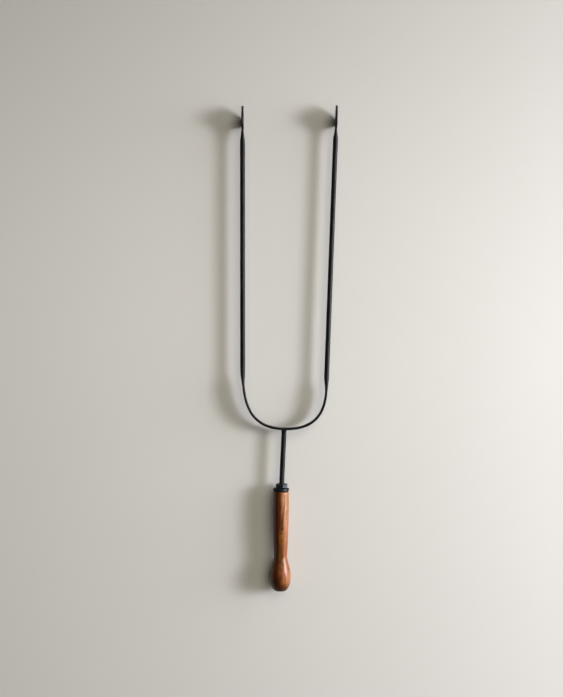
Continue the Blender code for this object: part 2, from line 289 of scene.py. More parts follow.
def rod_unevenness(point, depth):
    """Slow and fine unevenness of a drawn rod, longer along it than across."""
    slow = noise.noise(Vector((point.x / 7, point.y / 26, point.z / 7)) / MM)
    fine = noise.noise(Vector((point.x / 2.2, point.y / 5, point.z / 2.2)) / MM + 40 * UP)
    return depth * (slow + 0.35 * fine)


class Tine:
    """One arm of the head, from its tip down to the bottom of the bow, in mm from the datum.

    The shoulder is where the straight rod meets the bow. The pulls are how far the bow's curve
    holds its direction at the shoulder and at the bottom.
    """

    def __init__(self, shoulder, tip_y, lean, shoulder_pull, bottom_pull, band_from, neck_taper):
        self.shoulder = Vector((shoulder[0], shoulder[1], 0.0)) * MM
        self.direction = Vector((math.sin(lean), math.cos(lean), 0.0))
        self.length = (tip_y * MM - self.shoulder.y) / math.cos(lean)
        self.tip = self.shoulder + self.direction * self.length
        self.shoulder_pull = shoulder_pull * MM
        self.bottom_pull = bottom_pull * MM
        self.band_from = band_from * MM
        self.neck_taper = neck_taper * MM


LEFT_TINE = Tine((-49.7, 155.7), 483.7, math.radians(-0.57), 47.5, -45.6, 152.7, 17.0)
RIGHT_TINE = Tine((55.8, 145.7), 485.5, math.radians(1.62), 19.4, 55.8, 146.7, 13.0)


def paddle_size(distance, tine):
    """Half thickness, half width, corner radius and rim thinning of a ring near the tip."""
    half_t = PADDLE_THICKNESS / 2
    corner = PADDLE_RIM_R
    thinning = PADDLE_RIM_THINNING
    if distance < PADDLE_WIDEST:
        rise = math.sin(math.radians(90.0) * distance / PADDLE_WIDEST)
        half_w = PADDLE_R * rise ** PADDLE_POINT
        if distance < PADDLE_RIM_R:
            rim = math.sqrt(PADDLE_RIM_R ** 2 - (PADDLE_RIM_R - distance) ** 2)
            half_t += rim - PADDLE_RIM_R
    elif distance < PADDLE_LENGTH:
        share = (distance - PADDLE_WIDEST) / (PADDLE_LENGTH - PADDLE_WIDEST)
        half_w = mix(PADDLE_R, NECK_WIDTH / 2, ease(share ** PADDLE_SHOULDER))
        thinning *= 1.0 - share
    else:
        share = ease((distance - PADDLE_LENGTH) / tine.neck_taper)
        half_w = mix(NECK_WIDTH / 2, ROD_R, share)
        half_t = mix(half_t, ROD_R, share)
        corner = mix(corner, ROD_R, share)
        thinning = 0.0
    return half_t, half_w, corner, thinning


def band_size(y, tine):
    share = ease((tine.band_from - y) / BAND_TAPER)
    half_t = mix(ROD_R, BAND_THICKNESS / 2, share)
    half_w = mix(ROD_R, BAND_WIDTH / 2, share)
    return half_t, half_w, mix(ROD_R, BAND_CORNER_R, share), 0.0


def tine_stations(tine):
    """Centres and ring sizes, from the tip down to the bottom of the bow."""
    rim = [TIP_CUT, *spread(TIP_CUT, PADDLE_RIM_R, 0.15 * MM)]
    near_tip = spread(PADDLE_RIM_R, 5 * MM, 0.7 * MM)
    paddle = spread(5 * MM, PADDLE_LENGTH + tine.neck_taper, 1.0 * MM)
    rod = spread(PADDLE_LENGTH + tine.neck_taper, tine.length, HEAD_STEP)
    stations = []
    for distance in rim + near_tip + paddle:
        centre = tine.tip - tine.direction * distance
        stations.append((centre, paddle_size(distance, tine)))
    for distance in rod:
        centre = tine.tip - tine.direction * distance
        stations.append((centre, band_size(centre.y, tine)))
    steps = round(1.4 * (tine.shoulder - BOW_BOTTOM).length / HEAD_STEP)
    curve = interpolate_bezier(
        tine.shoulder, tine.shoulder - tine.direction * tine.shoulder_pull,
        BOW_BOTTOM + Vector((tine.bottom_pull, 0.0, 0.0)), BOW_BOTTOM, steps + 1)
    stations += [(point, band_size(point.y, tine)) for point in curve[1:]]
    return stations


def head_ring(centre, along, size):
    half_t, half_w, corner, thinning = size
    across = along.cross(UP)
    flatness = clamp((half_w / half_t - 1.0) / 2.0)
    points = []
    for thin, wide in section(half_t, half_w, corner, HEAD_SIDES):
        thin *= 1.0 - thinning * (wide / half_w) ** 2
        point = centre + across * thin + UP * wide
        outward = (across * (thin / half_t) + UP * (wide / half_w) ** 7).normalized()
        dent = hammer(point, *BROAD_DENT) + hammer(point + 9 * MM * UP, *SMALL_DENT)
        inward = mix(rod_unevenness(point, ROD_WAVE) - ROD_WAVE, dent, flatness)
        points.append(point + outward * min(-HEAD_INSET, inward) * clamp(half_t / DENTED_HALF_T))
    return points


def build_head(material):
    left = tine_stations(LEFT_TINE)
    right = tine_stations(RIGHT_TINE)
    stations = left + right[-2::-1]
    centres = [centre for centre, size in stations]
    rings = []
    for i, (centre, size) in enumerate(stations):
        before = centres[max(i - 1, 0)]
        after = centres[min(i + 1, len(centres) - 1)]
        rings.append(head_ring(centre, (after - before).normalized(), size))
    return add_piece("forged_head", loft(rings), material, "fork_head", 60.0)


# ---------------------------------------------------------------- shank

def shank_direction():
    return Vector((math.sin(SHANK_LEAN), math.cos(SHANK_LEAN), 0.0))


def shank_bend():
    return Vector((TANG_X, LOCK_HIGH.y, 0.0))


def bow_distance():
    return (BOW_BOTTOM.y - LOCK_HIGH.y) / math.cos(SHANK_LEAN)


def rod_ring(centre, along, radius, rough):
    """Ring of a rod; rough is the share of the rods' unevenness that it has."""
    across = along.cross(UP)
    points = []
    for i in range(ROD_SIDES):
        angle = math.tau * i / ROD_SIDES
        outward = across * math.cos(angle) + UP * math.sin(angle)
        point = centre + outward * radius
        points.append(point + outward * (rod_unevenness(point, ROD_WAVE) - ROD_WAVE) * rough)
    return points


def thread_outline(start, end):
    """(y, radius) along the threaded end of the tang, as ring-shaped grooves."""
    points = [(start, TANG_END_R - TANG_CHAMFER), (start + TANG_CHAMFER, TANG_END_R)]
    y = start + 0.9 * MM
    while y + THREAD_PITCH < end:
        for share, depth in ((0.35, 0.0), (0.5, 1.0), (0.6, 1.0), (0.75, 0.0)):
            points.append((y + share * THREAD_PITCH, TANG_END_R - depth * THREAD_DEPTH))
        y += THREAD_PITCH
    return points


def build_shank(material):
    tang = thread_outline(SHANK_LOW.y, WASHER_LOW.y)
    tang += [(TANG_SHOULDER_Y, TANG_END_R), (TANG_SHOULDER_Y, SHANK_R)]
    tang += [(y, SHANK_R) for y in spread(TANG_SHOULDER_Y, 0.0, TANG_STEP)]
    rings = [rod_ring(Vector((TANG_X, y, 0.0)), ALONG, radius, 0.0) for y, radius in tang]
    bisector = (ALONG + shank_direction()).normalized()
    rings.append(rod_ring(shank_bend(), bisector, SHANK_R, 0.3))

    shoulder = bow_distance() - BAND_THICKNESS / 2 - SHOULDER_PLAY
    face = bow_distance() + BAND_THICKNESS / 2
    upper = [(d, SHANK_R, 1.0) for d in spread(0.0, shoulder - FLARE_LENGTH, ROD_STEP)]
    for i in range(1, FLARE_STEPS + 1):
        share = i / FLARE_STEPS
        distance = shoulder - FLARE_LENGTH * (1.0 - share)
        upper.append((distance, mix(SHANK_R, FLARE_R, share ** 2.2), 1.0))
    upper += [(shoulder, TENON_R, 0.0), (face - RIVET_DEPTH, TENON_R, 0.0),
              (face - RIVET_EDGE, RIVET_R - RIVET_EDGE, 0.0)]
    for share in (0.0, 0.3, 0.6, 0.85, 0.97):
        radius = (RIVET_R - 0.15 * MM) * math.sqrt(1.0 - share ** 2)
        upper.append((face + RIVET_DOME * share, radius, 0.0))
    for distance, radius, rough in upper:
        centre = shank_bend() + shank_direction() * distance
        rings.append(rod_ring(centre, shank_direction(), radius, rough))
    return add_piece("shank_rod", loft(rings), material, "shank", 35.0)


def cut_tenon_hole(head):
    """Cut the tapered hole for the rivet through the bow, tight on the rivet."""
    face = bow_distance() + BAND_THICKNESS / 2
    hole_r = TENON_R + TENON_PLAY
    sink_r = RIVET_R + TENON_PLAY
    beyond = 2 * MM
    profile = [(face - 2 * BAND_THICKNESS, hole_r), (face - RIVET_DEPTH, hole_r),
               (face, sink_r), (face + beyond, sink_r + beyond)]
    rings = []
    for distance, radius in profile:
        centre = shank_bend() + shank_direction() * distance
        rings.append(rod_ring(centre, shank_direction(), radius, 0.0))
    bm = loft(rings)
    bmesh.ops.recalc_face_normals(bm, faces=bm.faces)
    mesh = bpy.data.meshes.new("tenon_cutter")
    bm.to_mesh(mesh)
    bm.free()
    cutter = bpy.data.objects.new("tenon_cutter", mesh)
    cutter.location = DATUM
    bpy.context.scene.collection.objects.link(cutter)
    modifier = head.modifiers.new("tenon_hole", "BOOLEAN")
    modifier.operation = "DIFFERENCE"
    modifier.object = cutter
    bpy.context.view_layer.update()
    evaluated = head.evaluated_get(bpy.context.evaluated_depsgraph_get())
    cut = bpy.data.meshes.new_from_object(evaluated)
    head.modifiers.clear()
    head.data = cut
    bpy.data.objects.remove(cutter)


# ---------------------------------------------------------------- turned handle

def packed_outline():
    """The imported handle's outer outline as (depth below the top face, radius) points."""
    found = {}
    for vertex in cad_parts["handle"].data.vertices:
        spot = vertex.co - DATUM
        radius = math.hypot(spot.x, spot.z)
        if radius > SKIN_R:
            depth = round(-spot.y / MM, 3)
            found[depth] = max(found.get(depth, 0.0), radius)
    return [(depth * MM, found[depth]) for depth in sorted(found)]


def smooth_outline(points, step):
    """Catmull-Rom curve through (depth, radius) points, in steps of about step."""
    ends = [points[0], *points, points[-1]]
    curve = [points[0]]
    for before, here, there, after in zip(ends, ends[1:], ends[2:], ends[3:]):
        length = math.hypot(there[0] - here[0], there[1] - here[1])
        count = max(2, round(length / step))
        for i in range(1, count + 1):
            t = i / count
            curve.append(tuple(
                0.5 * (2 * b + (c - a) * t + (2 * a - 5 * b + 4 * c - d) * t ** 2
                       + (3 * b - a - 3 * c + d) * t ** 3)
                for a, b, c, d in zip(before, here, there, after)))
    return curve


def build_handle(material):
    packed = packed_outline()
    curve = smooth_outline(packed[:-1], OUTLINE_STEP)
    end_depth, end_r = packed[-1]
    edge_depth, edge_r = curve[-1]
    length = -HANDLE_LOW.y
    outline = list(curve)
    for share in (0.08, 0.5, 0.92):
        outline.append((mix(edge_depth, end_depth, share), mix(edge_r, end_r, share)))
    outline.append((end_depth, end_r - BUTT_EDGE))
    outer = [(0.0, -depth, radius) for depth, radius in outline]

    floor = -(length - RECESS_DEPTH)
    bore_r = SHANK_R + GAP
    inner = [(TANG_X, -length, RECESS_R + RECESS_FLARE), (TANG_X, -length + RECESS_EDGE, RECESS_R),
             (TANG_X, floor, RECESS_R), (TANG_X, floor, bore_r), (TANG_X, 0.0, bore_r)]
    bm = turned(outer + inner, TURNED_SIDES)
    for vertex in bm.verts:
        radius = math.hypot(vertex.co.x, vertex.co.z)
        if radius > SKIN_R:
            worn = 0.06 * MM * (noise.noise(vertex.co / (14 * MM)) - WEAR)
            outward = Vector((vertex.co.x, 0.0, vertex.co.z)) / radius
            vertex.co += outward * min(0.0, worn)
    return add_piece("turned_handle", bm, material, "handle", 30.0)


# ---------------------------------------------------------------- bolster, nuts and washer

def build_bolster(material):
    low, high = BOLSTER_LOW.y, BOLSTER_HIGH.y
    radius = (BOLSTER_HIGH.x - BOLSTER_LOW.x) / 2
    rim = 1.45 * MM
    chamfer = 0.3 * MM
    hole = SHANK_R + 0.15 * MM + TANG_X     # clears the rod, which is off the handle's axis
    outline = [(low, hole)]
    outline += arc(radius - rim, low + rim, rim, -90.0, 0.0, RIM_STEPS)
    outline += arc(radius - rim, high - rim, rim, 0.0, 90.0, RIM_STEPS)
    outline += [(high, hole + chamfer), (high - chamfer, hole)]
    bm = turned([(0.0, y, r) for y, r in outline], TURNED_SIDES)
    for vertex in bm.verts:
        outward = Vector((vertex.co.x, 0.0, vertex.co.z)).normalized()
        vertex.co += outward * 0.05 * MM * (noise.noise(vertex.co / (5 * MM)) - WEAR)
    return add_piece("bolster_collar", bm, material, "bolster", 40.0)


def hex_radius(off_flat, flats, rounding):
    """Distance from the axis to a hexagon with rounded corners, off_flat from a flat's middle."""
    inner = flats / 2 - rounding
    off = abs(off_flat)
    if flats / 2 * math.tan(off) <= inner * math.tan(math.radians(30.0)):
        return flats / 2 / math.cos(off)
    reach = inner / math.cos(math.radians(30.0))
    slant = math.radians(30.0) - off
    return reach * math.cos(slant) + math.sqrt(rounding ** 2 - (reach * math.sin(slant)) ** 2)


def nut_ring(y, turn, radius_at):
    """Ring of a nut; radius_at gives the radius and the lift at an angle off a flat's middle."""
    points = []
    for i in range(NUT_SIDES):
        angle = math.tau * i / NUT_SIDES
        off_flat = (angle + math.radians(30.0)) % math.radians(60.0) - math.radians(30.0)
        radius, lift = radius_at(off_flat)
        x, z = radius * math.sin(angle + turn), radius * math.cos(angle + turn)
        points.append(Vector((TANG_X + x, y + lift, z)))
    return points


def build_nut(name, node, material, flats, low, high, bore_r, turn):
    """Hexagon nut whose corners are cut by a cone at both faces, with its edges broken."""
    face_r = flats / 2 * NUT_FACE_SHARE
    slope = math.tan(math.radians(30.0))
    break_r = 0.22 * MM
    lip = 0.06 * MM
    shallow, deep = 0.04 * MM, 0.3 * MM

    def side(sign, drop):
        def radius_at(off_flat):
            radius = hex_radius(off_flat, flats, NUT_CORNER_R)
            return radius - drop * 0.25, sign * ((radius - face_r) * slope + drop)
        return radius_at

    def round_ring(radius, lift=0.0):
        return lambda off_flat: (radius, lift)

    chamfer = 0.35 * MM
    rings = [
        nut_ring(low, turn, round_ring(bore_r + chamfer)),
        nut_ring(low, turn, round_ring(face_r - break_r)),
        nut_ring(low, turn, round_ring(face_r, lip)),
        nut_ring(low, turn, side(1.0, shallow)),
        nut_ring(low, turn, side(1.0, deep)),
        nut_ring(high, turn, side(-1.0, deep)),
        nut_ring(high, turn, side(-1.0, shallow)),
        nut_ring(high, turn, round_ring(face_r, -lip)),
        nut_ring(high, turn, round_ring(face_r - break_r)),
        nut_ring(high, turn, round_ring(bore_r + chamfer)),
        nut_ring(high - chamfer, turn, round_ring(bore_r)),
        nut_ring(low + chamfer, turn, round_ring(bore_r)),
    ]
    bm = skin(rings, closed=True)[0]
    return add_piece(name, bm, material, node, 25.0)


def build_washer(material):
    low, high = WASHER_LOW.y, WASHER_HIGH.y
    radius = (WASHER_HIGH.x - WASHER_LOW.x) / 2
    hole = TANG_END_R + 0.15 * MM
    edge = 0.2 * MM
    outline = [(low, hole + edge), (low, radius - edge), (low + edge, radius),
               (high - edge, radius), (high, radius - edge), (high, hole + edge),
               (high - edge, hole), (low + edge, hole)]
    bm = turned([(TANG_X, y, r) for y, r in outline], WASHER_SIDES)
    return add_piece("butt_washer_plate", bm, material, "butt_washer", 35.0)


# ---------------------------------------------------------------- materials

class Nodes:
    """Short calls for building one material's node tree."""

    def __init__(self, name):
        self.material = bpy.data.materials.new(name)
        self.material.use_nodes = True
        self.tree = self.material.node_tree
        self.shader = self.tree.nodes["Principled BSDF"]
        self.place = self.add("ShaderNodeTexCoord").outputs["Object"]

    def add(self, kind, **settings):
        node = self.tree.nodes.new(kind)
        for key, value in settings.items():
            setattr(node, key, value)
        return node

    def link(self, source, socket):
        self.tree.links.new(source, socket)

    def put(self, socket, value):
        if isinstance(value, bpy.types.NodeSocket):
            self.link(value, socket)
        else:
            socket.default_value = value

    def set(self, name, value):
        self.put(self.shader.inputs[name], value)

    def mapped(self, scale, location=(0.0, 0.0, 0.0), rotation=(0.0, 0.0, 0.0)):
        """The place in the piece's own axes, scaled, turned and then moved."""
        node = self.add("ShaderNodeMapping")
        self.link(self.place, node.inputs["Vector"])
        node.inputs["Location"].default_value = location
        node.inputs["Rotation"].default_value = rotation
        node.inputs["Scale"].default_value = scale
        return node.outputs["Vector"]

    def noise(self, scale, detail, roughness, distortion=0.0, shift=(0.0, 0.0, 0.0)):
        """Noise from 0 to 1 with scale blotches to a metre along each axis."""
        node = self.add("ShaderNodeTexNoise")
        self.link(self.mapped(scale, shift), node.inputs["Vector"])
        node.inputs["Scale"].default_value = 1.0
        node.inputs["Detail"].default_value = detail
        node.inputs["Roughness"].default_value = roughness
        node.inputs["Distortion"].default_value = distortion
        return node.outputs["Fac"]

    def cells(self, scale):
        """Distance to the nearest of scattered points, scale points to a metre along each axis."""
        node = self.add("ShaderNodeTexVoronoi")
        self.link(self.mapped(scale), node.inputs["Vector"])
        node.inputs["Scale"].default_value = 1.0
        return node.outputs["Distance"]

    def math(self, operation, a, b=0.0):
        node = self.add("ShaderNodeMath", operation=operation)
        for socket, value in zip(node.inputs, (a, b)):
            self.put(socket, value)
        return node.outputs[0]

    def times(self, a, b):
        return self.math("MULTIPLY", a, b)

    def plus(self, a, b):
        return self.math("ADD", a, b)

    def remap(self, value, low, high, to_low=0.0, to_high=1.0, smooth=False):
        """Carry low..high over to to_low..to_high, held at both ends."""
        node = self.add("ShaderNodeMapRange")
        if smooth:
            node.interpolation_type = "SMOOTHSTEP"
        for socket, number in zip(node.inputs, (value, low, high, to_low, to_high)):
            self.put(socket, number)
        return node.outputs[0]

    def blend(self, share, a, b):
        """Colour a where share is 0, colour b where it is 1."""
        node = self.add("ShaderNodeMix", data_type="RGBA")
        self.put(node.inputs[0], share)
        for socket, value in ((node.inputs[6], a), (node.inputs[7], b)):
            self.put(socket, (*value, 1.0) if isinstance(value, tuple) else value)
        return node.outputs[2]

    def parts(self, vector):
        """The x, y and z of a vector."""
        node = self.add("ShaderNodeSeparateXYZ")
        self.link(vector, node.inputs[0])
        return node.outputs

    def bump(self, height, distance, strength, before=None):
        node = self.add("ShaderNodeBump")
        self.put(node.inputs["Height"], height)
        node.inputs["Distance"].default_value = distance
        node.inputs["Strength"].default_value = strength
        if before:
            self.link(before, node.inputs["Normal"])
        return node.outputs["Normal"]


PADDLE_SCALE_Y = (446 * MM, 458 * MM)
BAND_SCALE_Y = (150 * MM, 128 * MM)
HAMMERED_COLOUR = (0.042, 0.038, 0.034)


def hammered_share(n, mottle):
    """Where the upright flats of the paddles and the band carry paler, hammered scale."""
    y = n.parts(n.place)[1]
    facing = n.parts(n.add("ShaderNodeNewGeometry").outputs["Normal"])
    paddles = n.remap(y, *PADDLE_SCALE_Y, smooth=True)
    band = n.remap(y, *BAND_SCALE_Y, smooth=True)
    upright = n.remap(n.math("ABSOLUTE", facing[2]), 0.6, 0.25, smooth=True)
    flats = n.times(n.math("MAXIMUM", paddles, band), upright)
    patches = n.remap(mottle, 0.38, 0.62, 0.15, 0.85)
    return n.times(flats, patches)


def iron_material(name, dark, light, rust, roughness, metallic, grain=1.0, forged_flats=False):
    """Black forge scale: mottled, pitted, rubbed brighter along its edges."""
    n = Nodes(name)
    n.set("Specular Tint", (0.45, 0.45, 0.47, 1.0))
    mottle = n.noise((90.0, 60.0, 90.0), 5.0, 0.6)
    fine = n.noise((900.0, 500.0, 900.0), 4.0, 0.6)
    colour = n.blend(n.remap(mottle, 0.35, 0.68), dark, light)
    brown = n.remap(n.noise((45.0, 30.0, 45.0), 6.0, 0.65, shift=(3.0, 1.0, 2.0)), 0.55, 0.75)
    colour = n.blend(n.times(brown, 0.55), colour, rust)
    edge = n.add("ShaderNodeNewGeometry").outputs["Pointiness"]
    rub = n.times(n.remap(edge, 0.52, 0.60), n.remap(fine, 0.35, 0.6))
    worn = tuple(3.2 * channel + 0.02 for channel in light)
    colour = n.blend(n.times(rub, 0.6), colour, worn)
    speck = n.remap(fine, 0.55, 0.72)
    colour = n.blend(n.times(speck, 0.25), colour, worn)
    if forged_flats:
        colour = n.blend(hammered_share(n, mottle), colour, HAMMERED_COLOUR)
    n.set("Base Color", colour)
    n.set("Metallic", metallic)
    rough = n.remap(mottle, 0.3, 0.7, roughness - 0.07, roughness + 0.09)
    rough = n.plus(rough, n.remap(fine, 0.3, 0.7, -0.05, 0.05))
    n.set("Roughness", n.math("SUBTRACT", rough, n.times(rub, 0.12)))
    pits = n.remap(n.cells((520.0, 420.0, 520.0)), 0.12, 0.4)
    normal = n.bump(pits, 0.03 * MM * grain, 0.6)
    normal = n.bump(fine, 0.06 * MM * grain, 0.7, normal)
    normal = n.bump(mottle, 0.25 * MM * grain, 0.5, normal)
    n.set("Normal", normal)
    return n.material


TREE_RING = 1.7 * MM
TREE_AXIS = (-1.4 * MM, 0.0, 32 * MM)
TREE_LEAN = math.radians(1.8)
TURNING_RING = 3.1 * MM             # the turning lines at the butt are this far apart

# Ragged patches on the handle's upper side, first those below the grain, then those above it:
# place to the right of the axis and below the top face, half width and half length, all in
# millimetres, then softness, strength and colour.
UNDER_PATCHES = (
    # Painted highlight: the pale patch right of the axis near the top of the grip.
    (4.5, 10.0, 4.5, 19.0, 0.5, 0.6, (0.460, 0.200, 0.080)),
    (2.0, 95.0, 4.0, 9.0, 0.5, 0.5, (0.290, 0.100, 0.030)),
)
UPPER_PATCHES = (
    (1.0, 56.0, 3.0, 11.0, 0.35, 0.85, (0.250, 0.080, 0.004)),
    (-0.6, 76.0, 3.2, 10.5, 0.15, 0.75, (0.035, 0.010, 0.001)),
    (-0.6, 76.0, 2.2, 9.0, 0.3, 0.9, (0.120, 0.062, 0.005)),
    (4.2, 76.0, 2.0, 9.0, 0.5, 0.6, (0.260, 0.042, 0.006)),
    (-1.0, 110.0, 3.0, 4.5, 0.35, 0.6, (0.065, 0.026, 0.001)),
    (4.0, 111.0, 2.6, 4.0, 0.5, 0.6, (0.290, 0.085, 0.004)),
    # Redder wood with a painted pink sheen where the bulb's highlight falls.
    (5.0, 100.0, 2.6, 6.0, 0.5, 0.6, (0.330, 0.060, 0.040)),
    (-6.5, 113.0, 5.0, 8.0, 0.5, 0.75, (0.034, 0.005, 0.001)),
)


class Wood(Nodes):
    """Red-brown hardwood: lighter on its right as painted highlight and darker on its left as
    painted shade, olive down the middle, dark at the butt, partly painted shade.
    """

    def __init__(self, name):
        super().__init__(name)
        self.x, y, z = self.parts(self.place)
        self.depth = self.times(y, -1.0)
        self.upper = self.remap(z, -3 * MM, 3 * MM, smooth=True)
        self.wander = self.noise((90.0, 22.0, 90.0), 3.0, 0.5)
        self.fibre = self.noise((1500.0, 60.0, 1500.0), 4.0, 0.6)
        self.streak = self.noise(
            (400.0, 26.0, 400.0), 4.0, 0.6, distortion=0.4, shift=(7.0, 2.0, 5.0))
        self.jagged = self.noise(
            (420.0, 230.0, 420.0), 4.0, 0.65, distortion=1.2, shift=(2.0, 9.0, 4.0))
        broad = self.noise((160.0, 20.0, 160.0), 3.0, 0.5, shift=(1.0, 5.0, 2.0))
        self.side = self.plus(self.x, self.remap(broad, 0.2, 0.8, -2.5 * MM, 2.5 * MM))
        self.rings = self.tree_rings()
        late = self.remap(self.rings, 0.35, 0.85, smooth=True)
        self.late = self.times(late, self.remap(self.rings, 1.0, 0.9))
        pores = self.remap(self.cells((1900.0, 150.0, 1900.0)), 0.30, 0.18)
        self.pores = self.times(pores, self.remap(self.rings, 0.55, 0.15))

    def tree_rings(self):
        """Year rings from 0 to 1. The tree's axis lies far below the handle and leans, so the
        upper side shows pointed arches."""
        x, y, z = self.parts(self.mapped((1.0, 1.0, 1.0), TREE_AXIS, (TREE_LEAN, 0.0, 0.0)))
        reach = self.math("SQRT", self.plus(self.times(x, x), self.times(z, z)))
        reach = self.plus(reach, self.remap(self.wander, 0.0, 1.0, -0.9 * MM, 0.9 * MM))
        ripple = self.noise((330.0, 150.0, 330.0), 2.0, 0.5)
        reach = self.plus(reach, self.remap(ripple, 0.0, 1.0, -0.3 * MM, 0.3 * MM))
        return self.math("FRACT", self.times(reach, 1.0 / TREE_RING))

    def along(self, start, end, low=0.0, high=1.0, smooth=False):
        """A field that goes from low to high between two depths below the top face, in mm."""
        return self.remap(self.depth, start * MM, end * MM, low, high, smooth)

    def rightward(self, start, end, high=1.0):
        """A field that rises between two places to the right of the axis, in mm."""
        return self.remap(self.side, start * MM, end * MM, 0.0, high, smooth=True)

    def lay(self, share, paint, amount=1.0):
        """Paint over the colour so far, by share times amount."""
        if amount < 1.0:
            share = self.times(share, amount)
        self.colour = self.blend(share, self.colour, paint)

    def lay_patches(self, patches):
        ragged = self.remap(self.jagged, 0.25, 0.75, -0.45, 0.45)
        for right, down, half_width, half_length, soft, amount, paint in patches:
            scale = (1.0 / (half_width * MM), 1.0 / (half_length * MM), 0.0)
            oval = self.mapped(scale, (-right / half_width, down / half_length, 0.0))
            length = self.add("ShaderNodeVectorMath", operation="LENGTH")
            self.link(oval, length.inputs[0])
            edge = self.plus(length.outputs["Value"], ragged)
            inside = self.remap(edge, 1.0 + soft, 1.0 - soft, smooth=True)
            self.lay(self.times(inside, self.upper), paint, amount)

    def lay_ground(self):
        """Dark left as painted shade, pale right rim as painted highlight, and painted highlight on
        the bulb's right rim; redder wood at the neck and golden wood on the bulb.
        """
        # Painted shade and light: darker on the left side, away from the light, and paler towards
        # the right.
        self.colour = self.blend(
            self.rightward(-6, 0.5), (0.100, 0.017, 0.001), (0.150, 0.040, 0.006))
        self.lay(self.rightward(0.5, 5), (0.300, 0.100, 0.022))
        # Painted highlight: the pale right rim of the grip and neck.
        self.lay(self.rightward(4, 8, 0.7), (0.430, 0.185, 0.080))
        neck = self.times(self.along(40, 70, smooth=True), self.rightward(0, 4))
        self.lay(neck, (0.250, 0.060, 0.009), 0.7)
        bulb = self.times(self.along(92, 112, smooth=True), self.rightward(-4, 4))
        self.lay(bulb, (0.230, 0.066, 0.007), 0.7)
        # Painted highlight: pale right rim of the bulb.
        bulb_painted_highlight = self.times(self.along(92, 104), self.rightward(7, 12))
        self.lay(bulb_painted_highlight, (0.480, 0.230, 0.120), 0.75)

    def lay_marks(self):
        """Dark marks down the middle, weaker near the top, and a dark vein on the left."""
        wander = self.remap(self.wander, 0.0, 1.0, -3.0 * MM, 0.5 * MM)
        off_middle = self.math("ABSOLUTE", self.plus(self.x, wander))
        near = self.remap(off_middle, 3.4 * MM, 1.4 * MM, smooth=True)
        marks = self.times(self.remap(self.jagged, 0.52, 0.57), near)
        self.lay(self.times(marks, self.along(14, 34, 0.15, 1.0)), (0.022, 0.005, 0.001), 0.92)
        off_vein = self.math("ABSOLUTE", self.plus(self.side, 4.0 * MM))
        vein = self.remap(off_vein, 1.1 * MM, 0.3 * MM, smooth=True)
        self.lay(self.times(vein, self.along(48, 36)), (0.045, 0.008, 0.002), 0.6)

    def lay_butt(self):
        """Scorched, worn end with turning lines, dark end grain and painted shade on the rounded end
        and its left side.
        """
        # Dark end grain mixed with painted shade: darker towards the butt, and sooner on the left
        # side, away from the light.
        butt = self.plus(self.depth, self.remap(self.jagged, 0.3, 0.7, -2.5 * MM, 2.5 * MM))
        butt = self.plus(butt, self.remap(self.x, -9 * MM, 9 * MM, 2.5 * MM, -2.5 * MM))
        self.lay(self.remap(butt, 111 * MM, 118 * MM, smooth=True), (0.040, 0.008, 0.001), 0.88)
        turning = self.math("SINE", self.times(butt, math.tau / TURNING_RING))
        scorched = self.remap(turning, 0.1, 0.8, smooth=True)
        scorched = self.times(scorched, self.remap(butt, 108 * MM, 114 * MM))
        self.lay(scorched, (0.022, 0.004, 0.001), 0.88)
        pale = self.remap(turning, -0.3, -0.9, smooth=True)
        pale = self.times(pale, self.remap(butt, 113 * MM, 117 * MM))
        self.lay(pale, (0.190, 0.060, 0.014), 0.45)
        # Painted shade: the near-black rounded rim of the butt end.
        self.lay(self.along(121.0, 122.6, smooth=True), (0.008, 0.003, 0.001), 0.95)


def wood_material():
    wood = Wood("varnished_wood")
    wood.lay_ground()
    wood.lay_patches(UNDER_PATCHES)
    wood.lay(wood.times(wood.late, wood.along(20, 32, 0.9, 0.6)), (0.050, 0.011, 0.002))
    wood.lay(wood.remap(wood.streak, 0.52, 0.66, 0.0, 0.65), (0.045, 0.010, 0.002))
    wood.lay_patches(UPPER_PATCHES)
    wood.lay_marks()
    wood.lay(wood.remap(wood.fibre, 0.45, 0.75, 0.0, 0.4), (0.060, 0.014, 0.003))
    wood.lay(wood.pores, (0.018, 0.005, 0.002), 0.8)
    wood.lay_butt()

    # Worn semi-gloss varnish, gone from the butt.
    wood.set("Base Color", wood.colour)
    wood.set("Roughness", wood.remap(wood.fibre, 0.3, 0.75, 0.36, 0.48))
    wood.set("Specular IOR Level", 0.45)
    wood.set("Specular Tint", (1.0, 0.74, 0.56, 1.0))
    wood.set("Coat Weight", wood.along(114, 120, 0.34, 0.0))
    wood.set("Coat Roughness", 0.32)
    normal = wood.bump(wood.times(wood.pores, -1.0), 0.08 * MM, 0.7)
    normal = wood.bump(wood.streak, 0.10 * MM, 0.4, normal)
    normal = wood.bump(wood.late, 0.05 * MM, 0.3, normal)
    wood.set("Normal", normal)
    return wood.material


def floor_material():
    """Pale warm grey painted surface, faintly mottled, and darker beyond the tips as painted shade.
    """
    n = Nodes("pale_paint")
    # Painted shade: the floor darkens beyond the tips, where the light falls off.
    far = n.remap(n.parts(n.place)[1], -0.05, 0.75, smooth=True)
    cloud = n.noise((5.0, 5.0, 5.0), 4.0, 0.5)
    tooth = n.noise((700.0, 700.0, 700.0), 2.0, 0.5)
    paint = n.blend(cloud, (0.600, 0.592, 0.575), (0.620, 0.612, 0.594))
    n.set("Base Color", n.blend(far, paint, (0.400, 0.392, 0.378)))
    n.set("Roughness", 0.85)
    n.set("Specular IOR Level", 0.2)
    n.set("Normal", n.bump(tooth, 0.05 * MM, 0.3))
    return n.material


# ---------------------------------------------------------------- floor, light and camera

FLOOR_HALF = 4.0


